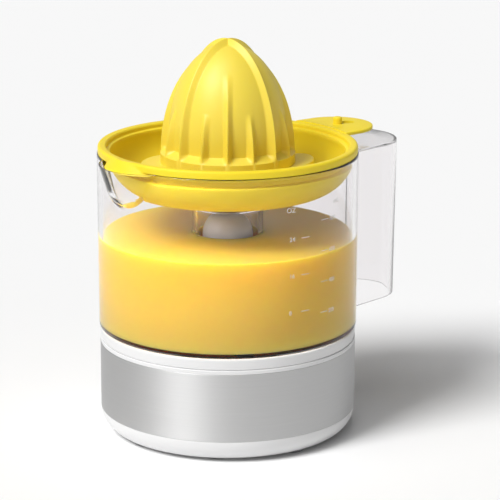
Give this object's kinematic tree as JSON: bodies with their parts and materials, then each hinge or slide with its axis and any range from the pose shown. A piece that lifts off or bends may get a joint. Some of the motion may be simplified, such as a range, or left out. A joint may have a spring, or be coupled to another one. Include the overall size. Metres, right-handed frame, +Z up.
{
  "type": "citrus press juicer",
  "caption": "Electric citrus press: motor base with a steel band, clear jug with spout and hollow handle, slotted strainer and a ribbed reamer on a sprung drive shaft.",
  "frame": {"origin": "On the drive axis, in the plane that the feet stand on.", "axes": "+Z up along the drive axis, +X towards the handle, -X towards the spout."},
  "size_m": [0.1873, 0.136, 0.2099],
  "materials": {
    "foot_rubber": "matt grey rubber",
    "gland_rubber": "matt light grey rubber",
    "white_plastic": "satin white moulding",
    "band_steel": "brushed round the band",
    "plated_steel": "zinc plated",
    "shaft_steel": "ground",
    "bush_bronze": "sintered bronze",
    "switch_plastic": "black moulding",
    "core_iron": "dark iron",
    "bobbin_plastic": "natural moulding",
    "winding_copper": "enamelled copper wire",
    "gear_plastic": "natural moulding",
    "clear_plastic": "clear polished moulding",
    "yellow_plastic": "satin yellow moulding"
  },
  "bodies": {
    "base": {"rubber_feet": "foot_rubber", "bottom_cover": "white_plastic", "steel_band": "band_steel", "base_shell": "white_plastic", "deck": "white_plastic", "cover_screws": "plated_steel", "cord_gland": "gland_rubber", "shaft_bush": "bush_bronze", "shaft_seal": "gland_rubber", "gearbox_plate": "plated_steel", "plate_screws": "plated_steel", "idler_axle": "shaft_steel", "thrust_washer": "bush_bronze", "switch_body": "switch_plastic", "stator_core": "core_iron", "coil_bobbins": "bobbin_plastic", "coil_windings": "winding_copper", "motor_screws": "plated_steel", "rotor_bridge": "plated_steel"},
    "rotor": {"rotor_magnet": "core_iron", "rotor_shaft": "shaft_steel", "motor_pinion": "gear_plastic"},
    "idler": {"idler_gear": "gear_plastic"},
    "output": {"output_gear": "gear_plastic", "return_spring": "shaft_steel"},
    "shaft": {"drive_shaft": "shaft_steel", "shaft_clip": "shaft_steel"},
    "plunger": {"switch_plunger": "bobbin_plastic"},
    "jug": {"jug": "clear_plastic"},
    "strainer": {"strainer": "yellow_plastic"},
    "reamer": {"reamer": "yellow_plastic"}
  },
  "joints": [
    {"name": "output_spin", "type": "hinge", "parent": "base", "child": "output", "pos_m": [0, 0, 0.039], "axis": [0, 0, 1], "continuous": true},
    {"name": "idler_spin", "type": "hinge", "parent": "base", "child": "idler", "pos_m": [0.03447, 0.01038, 0.036], "axis": [0, 0, 1], "continuous": true},
    {"name": "rotor_spin", "type": "hinge", "parent": "base", "child": "rotor", "pos_m": [0.018, 0.034, 0.02], "axis": [0, 0, 1], "continuous": true},
    {"name": "shaft_press", "type": "slide", "parent": "output", "child": "shaft", "axis": [0, 0, 1], "range_m": [-0.002, 0], "stiffness_N_per_m": 3000, "springref_m": 0.003, "deforming": ["return_spring"]},
    {"name": "switch_press", "type": "slide", "parent": "base", "child": "plunger", "axis": [0, 0, 1], "range_m": [-0.002, 0]},
    {"name": "jug_lift", "type": "slide", "parent": "base", "child": "jug", "axis": [0, 0, 1], "range_m": [0, 0.1]},
    {"name": "strainer_lift", "type": "slide", "parent": "jug", "child": "strainer", "axis": [0, 0, 1], "range_m": [0, 0.045]},
    {"name": "reamer_lift", "type": "slide", "parent": "shaft", "child": "reamer", "axis": [0, 0, 1], "range_m": [0, 0.195]}
  ],
  "couplings": [
    {"joint": "idler_spin", "follows": "output_spin", "ratio": -5},
    {"joint": "rotor_spin", "follows": "output_spin", "ratio": 25},
    {"joint": "switch_press", "follows": "shaft_press", "ratio": 1},
    {"joint": "strainer_lift", "follows": "jug_lift", "ratio": 0.45},
    {"joint": "reamer_lift", "follows": "jug_lift", "ratio": 1.95}
  ]
}
